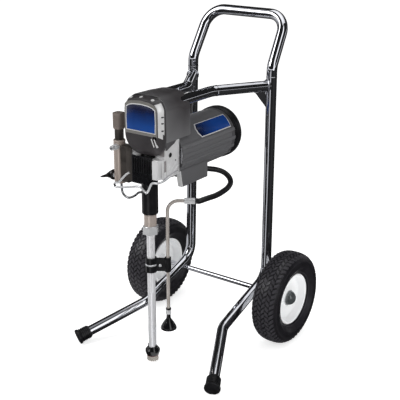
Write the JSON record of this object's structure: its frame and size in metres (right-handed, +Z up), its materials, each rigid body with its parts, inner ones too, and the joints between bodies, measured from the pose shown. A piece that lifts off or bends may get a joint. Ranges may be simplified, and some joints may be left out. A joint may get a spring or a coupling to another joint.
{
  "type": "airless paint sprayer",
  "caption": "Electric piston-pump paint sprayer on a two-wheeled tube cart, with siphon tube, return hose and prime valve.",
  "frame": {"origin": "on the floor, midway between the wheels and at the middle of the length", "axes": "+Z up, the pump and the front feet face -Y, +X is the operator's side with the return hose"},
  "size_m": [0.5706, 0.5621, 0.985],
  "materials": {
    "chrome": "bright chrome plate on steel tube",
    "rubber": "matt black rubber",
    "tyre": "black pneumatic tyre rubber",
    "white_plastic": "smooth white moulded rim",
    "black_plastic": "black moulded plastic",
    "zinc": "bright zinc plate",
    "nickel": "warm grey nickel plate",
    "cast_aluminium": "bare cast aluminium",
    "charcoal_paint": "charcoal semi-gloss paint",
    "blue_badge": "plain blue badge with a gloss coat",
    "steel": "machined steel",
    "green_board": "green circuit board",
    "grey_mesh": "fine filter mesh"
  },
  "bodies": {
    "sprayer": {"axle": "zinc", "box_front_plate": "zinc", "circuit_board": "green_board", "control_box": "charcoal_paint", "cover_badge": "blue_badge", "drain_nozzle": "black_plastic", "drain_tube": "chrome", "drive_housing": "cast_aluminium", "filter_body": "nickel", "filter_cap": "nickel", "filter_element": "grey_mesh", "front_bearing": "steel", "front_cover": "charcoal_paint", "gear_shroud": "charcoal_paint", "handle_loop": "chrome", "hose_ferrule": "zinc", "inlet_strainer": "grey_mesh", "intake_valve": "zinc", "left_bracket_arm": "chrome", "left_foot": "rubber", "left_gusset": "chrome", "left_hub_cap": "black_plastic", "left_side_tube": "chrome", "motor_cowl": "charcoal_paint", "motor_end_cap": "black_plastic", "motor_stator": "steel", "outlet_fitting": "zinc", "pail_hook": "zinc", "prime_valve": "zinc", "pump_cylinder": "nickel", "pump_sleeve": "black_plastic", "rear_bearing": "steel", "return_hose": "rubber", "right_bracket_arm": "chrome", "right_foot": "rubber", "right_gusset": "chrome", "right_hub_cap": "black_plastic", "right_side_tube": "chrome", "rod_guard": "black_plastic", "siphon_collar": "black_plastic", "siphon_tube": "chrome", "transfer_tube": "steel", "tube_clamp": "black_plastic"},
    "left_wheel": {"left_tyre": "tyre", "left_rim": "white_plastic", "left_wheel_bush": "black_plastic"},
    "right_wheel": {"right_tyre": "tyre", "right_rim": "white_plastic", "right_wheel_bush": "black_plastic"},
    "rotor": {"motor_rotor": "steel", "cooling_fan": "black_plastic"},
    "idler": {"idler_gear": "steel"},
    "crank": {"crankshaft": "steel"},
    "piston": {"piston_rod": "steel", "wrist_pin": "steel"},
    "drive_rod": {"connecting_rod": "cast_aluminium"},
    "valve_ball": {"intake_ball": "steel"},
    "knob": {"pressure_knob": "black_plastic"},
    "switch_rocker": {"power_switch": "black_plastic"},
    "prime_lever": {"prime_handle": "black_plastic"}
  },
  "joints": [
    {"name": "left_wheel_spin", "type": "hinge", "parent": "sprayer", "child": "left_wheel", "pos_m": [-0.2418, 0.1322, 0.1425], "axis": [1, 0, 0], "continuous": true},
    {"name": "right_wheel_spin", "type": "hinge", "parent": "sprayer", "child": "right_wheel", "pos_m": [0.2418, 0.1322, 0.1425], "axis": [1, 0, 0], "continuous": true},
    {"name": "rotor_spin", "type": "hinge", "parent": "sprayer", "child": "rotor", "pos_m": [0, -0.158, 0.6315], "axis": [0, 1, 0], "continuous": true},
    {"name": "idler_spin", "type": "hinge", "parent": "sprayer", "child": "idler", "pos_m": [0, -0.1798, 0.6755], "axis": [0, 1, 0], "continuous": true},
    {"name": "crank_spin", "type": "hinge", "parent": "sprayer", "child": "crank", "pos_m": [0, -0.1943, 0.7315], "axis": [0, 1, 0], "continuous": true},
    {"name": "piston_stroke", "type": "slide", "parent": "sprayer", "child": "piston", "axis": [0, 0, 1], "range_m": [-0.024, 0]},
    {"name": "drive_rod_swing", "type": "hinge", "parent": "piston", "child": "drive_rod", "pos_m": [0, -0.2148, 0.6535], "axis": [0, 1, 0], "range_deg": [-7.7, 7.7]},
    {"name": "valve_ball_lift", "type": "slide", "parent": "sprayer", "child": "valve_ball", "axis": [0, 0, 1], "range_m": [0, 0.003]},
    {"name": "pressure_turn", "type": "hinge", "parent": "sprayer", "child": "knob", "pos_m": [-0.0793, -0.1018, 0.5705], "axis": [1, 0, 0], "range_deg": [-135, 135]},
    {"name": "switch_rock", "type": "hinge", "parent": "sprayer", "child": "switch_rocker", "pos_m": [-0.078, -0.0578, 0.5705], "axis": [0, 0, 1], "range_deg": [0, 14]},
    {"name": "prime_turn", "type": "hinge", "parent": "sprayer", "child": "prime_lever", "pos_m": [-0.1203, -0.2233, 0.559], "axis": [1, 0, 0], "range_deg": [0, 90]}
  ],
  "couplings": [
    {"joint": "idler_spin", "follows": "rotor_spin", "ratio": -0.29412},
    {"joint": "crank_spin", "follows": "rotor_spin", "ratio": 0.098039}
  ]
}
